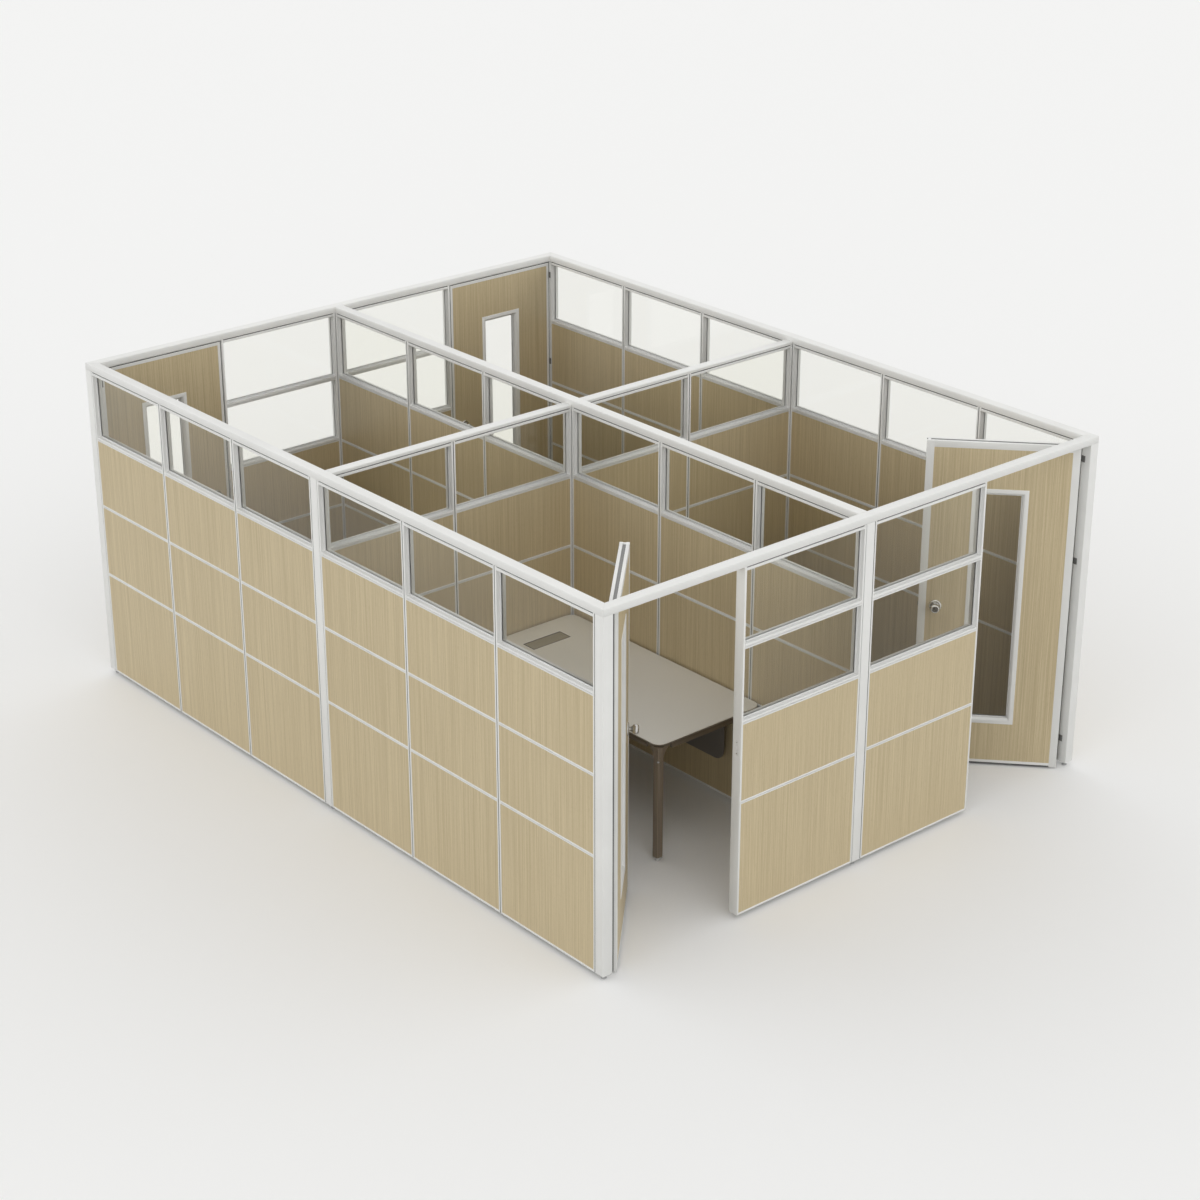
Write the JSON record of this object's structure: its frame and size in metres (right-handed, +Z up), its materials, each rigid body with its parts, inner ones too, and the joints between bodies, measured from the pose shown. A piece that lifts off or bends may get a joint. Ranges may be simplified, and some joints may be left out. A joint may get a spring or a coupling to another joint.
{
  "type": "cubicle workstation",
  "caption": "Block of enclosed office cubicles with wood-faced panels, glazed upper walls, hinged doors with windows and knobs, and a cabled desk in each room.",
  "frame": {"origin": "on the floor below the middle of the bounding box", "axes": "+Z up, +X to the right along the front wall, +Y from the front wall to the rear wall"},
  "size_m": [3.795, 5.05, 2.15],
  "materials": {
    "frame_white": "satin white powder coat",
    "tile_wood": "straight-grained light beige wood veneer, satin",
    "door_wood": "straight-grained light beige wood veneer, satin",
    "clear_glass": "clear",
    "dark_steel": "satin",
    "bright_steel": "satin",
    "polished_chrome": "polished",
    "clear_plastic": "translucent",
    "desk_laminate": "plain warm grey laminate on board, matt",
    "taupe_metal": "taupe powder coat, matt",
    "smoke_acrylic": "translucent grey",
    "taupe_plastic": "matt"
  },
  "bodies": {
    "structure": {"corner_posts": "frame_white", "junction_posts": "frame_white", "perimeter_cap": "frame_white", "spine_cap": "frame_white", "cross_caps": "frame_white", "levelling_feet": "clear_plastic", "left_wall_frames": "frame_white", "left_wall_tiles": "tile_wood", "right_wall_frames": "frame_white", "right_wall_tiles": "tile_wood", "front_wall_frames": "frame_white", "front_wall_tiles": "tile_wood", "rear_wall_frames": "frame_white", "rear_wall_tiles": "tile_wood", "spine_wall_frames": "frame_white", "spine_wall_tiles": "tile_wood", "cross_wall_frames": "frame_white", "cross_wall_tiles": "tile_wood", "wall_glass": "clear_glass", "hinge_post_leaves": "dark_steel", "strike_plates": "bright_steel", "desk_tops": "desk_laminate", "desk_rails": "taupe_metal", "desk_legs": "taupe_metal", "desk_leg_brackets": "taupe_metal", "desk_glides": "clear_plastic", "modesty_panels": "smoke_acrylic", "cable_trays": "taupe_plastic"},
    "door_front_left": {"door_frame_front_left": "frame_white", "door_leaf_front_left": "door_wood", "window_frame_front_left": "frame_white", "window_glass_front_left": "clear_glass", "door_ironmongery_front_left": "dark_steel"},
    "knob_front_left": {"knob_front_left": "polished_chrome"},
    "latch_front_left": {"latch_bolt_front_left": "bright_steel"},
    "door_front_right": {"door_frame_front_right": "frame_white", "door_leaf_front_right": "door_wood", "window_frame_front_right": "frame_white", "window_glass_front_right": "clear_glass", "door_ironmongery_front_right": "dark_steel"},
    "knob_front_right": {"knob_front_right": "polished_chrome"},
    "latch_front_right": {"latch_bolt_front_right": "bright_steel"},
    "door_rear_left": {"door_frame_rear_left": "frame_white", "door_leaf_rear_left": "door_wood", "window_frame_rear_left": "frame_white", "window_glass_rear_left": "clear_glass", "door_ironmongery_rear_left": "dark_steel"},
    "knob_rear_left": {"knob_rear_left": "polished_chrome"},
    "latch_rear_left": {"latch_bolt_rear_left": "bright_steel"},
    "door_rear_right": {"door_frame_rear_right": "frame_white", "door_leaf_rear_right": "door_wood", "window_frame_rear_right": "frame_white", "window_glass_rear_right": "clear_glass", "door_ironmongery_rear_right": "dark_steel"},
    "knob_rear_right": {"knob_rear_right": "polished_chrome"},
    "latch_rear_right": {"latch_bolt_rear_right": "bright_steel"},
    "lid_front_left": {"cable_lid_front_left": "taupe_plastic"},
    "lid_front_right": {"cable_lid_front_right": "taupe_plastic"},
    "lid_rear_left": {"cable_lid_rear_left": "taupe_plastic"},
    "lid_rear_right": {"cable_lid_rear_right": "taupe_plastic"}
  },
  "joints": [
    {"name": "door_swing_front_left", "type": "hinge", "parent": "structure", "child": "door_front_left", "pos_m": [-1.8264, -2.4539, 1.05], "axis": [0, 0, 1], "range_deg": [-45, 40]},
    {"name": "knob_turn_front_left", "type": "hinge", "parent": "door_front_left", "child": "knob_front_left", "pos_m": [-1.24268, -1.92477, 1.05], "axis": [-0.7071, 0.7071, 0], "range_deg": [0, 60]},
    {"name": "latch_slide_front_left", "type": "slide", "parent": "door_front_left", "child": "latch_front_left", "axis": [-0.7071, -0.7071, 0], "range_m": [0, 0.0035]},
    {"name": "door_swing_front_right", "type": "hinge", "parent": "structure", "child": "door_front_right", "pos_m": [1.8264, -2.4539, 1.05], "axis": [0, 0, -1], "range_deg": [-48, 37]},
    {"name": "knob_turn_front_right", "type": "hinge", "parent": "door_front_right", "child": "knob_front_right", "pos_m": [1.27118, -1.89495, 1.05], "axis": [0.7431, 0.6691, 0], "range_deg": [0, 60]},
    {"name": "latch_slide_front_right", "type": "slide", "parent": "door_front_right", "child": "latch_front_right", "axis": [0.6691, -0.7431, 0], "range_m": [0, 0.0035]},
    {"name": "door_swing_rear_left", "type": "hinge", "parent": "structure", "child": "door_rear_left", "pos_m": [-1.8264, 2.3989, 1.05], "axis": [0, 0, -1], "range_deg": [0, 85]},
    {"name": "knob_turn_rear_left", "type": "hinge", "parent": "door_rear_left", "child": "knob_rear_left", "pos_m": [-1.0395, 2.4375, 1.05], "axis": [0, -1, 0], "range_deg": [0, 60]},
    {"name": "latch_slide_rear_left", "type": "slide", "parent": "door_rear_left", "child": "latch_rear_left", "axis": [-1, 0, 0], "range_m": [0, 0.0035]},
    {"name": "door_swing_rear_right", "type": "hinge", "parent": "structure", "child": "door_rear_right", "pos_m": [1.8264, 2.3989, 1.05], "axis": [0, 0, 1], "range_deg": [0, 85]},
    {"name": "knob_turn_rear_right", "type": "hinge", "parent": "door_rear_right", "child": "knob_rear_right", "pos_m": [1.0395, 2.4375, 1.05], "axis": [0, -1, 0], "range_deg": [0, 60]},
    {"name": "latch_slide_rear_right", "type": "slide", "parent": "door_rear_right", "child": "latch_rear_right", "axis": [1, 0, 0], "range_m": [0, 0.0035]},
    {"name": "lid_swing_front_left", "type": "hinge", "parent": "structure", "child": "lid_front_left", "pos_m": [-0.4205, -0.238, 0.745], "axis": [-1, 0, 0], "range_deg": [0, 95]},
    {"name": "lid_swing_front_right", "type": "hinge", "parent": "structure", "child": "lid_front_right", "pos_m": [0.4205, -0.238, 0.745], "axis": [-1, 0, 0], "range_deg": [0, 95]},
    {"name": "lid_swing_rear_left", "type": "hinge", "parent": "structure", "child": "lid_rear_left", "pos_m": [-0.4205, 0.183, 0.745], "axis": [1, 0, 0], "range_deg": [0, 95]},
    {"name": "lid_swing_rear_right", "type": "hinge", "parent": "structure", "child": "lid_rear_right", "pos_m": [0.4205, 0.183, 0.745], "axis": [1, 0, 0], "range_deg": [0, 95]}
  ],
  "couplings": [
    {"joint": "latch_slide_front_left", "follows": "knob_turn_front_left", "m_per_rad": 0.0033},
    {"joint": "latch_slide_front_right", "follows": "knob_turn_front_right", "m_per_rad": 0.0033},
    {"joint": "latch_slide_rear_left", "follows": "knob_turn_rear_left", "m_per_rad": 0.0033},
    {"joint": "latch_slide_rear_right", "follows": "knob_turn_rear_right", "m_per_rad": 0.0033}
  ]
}
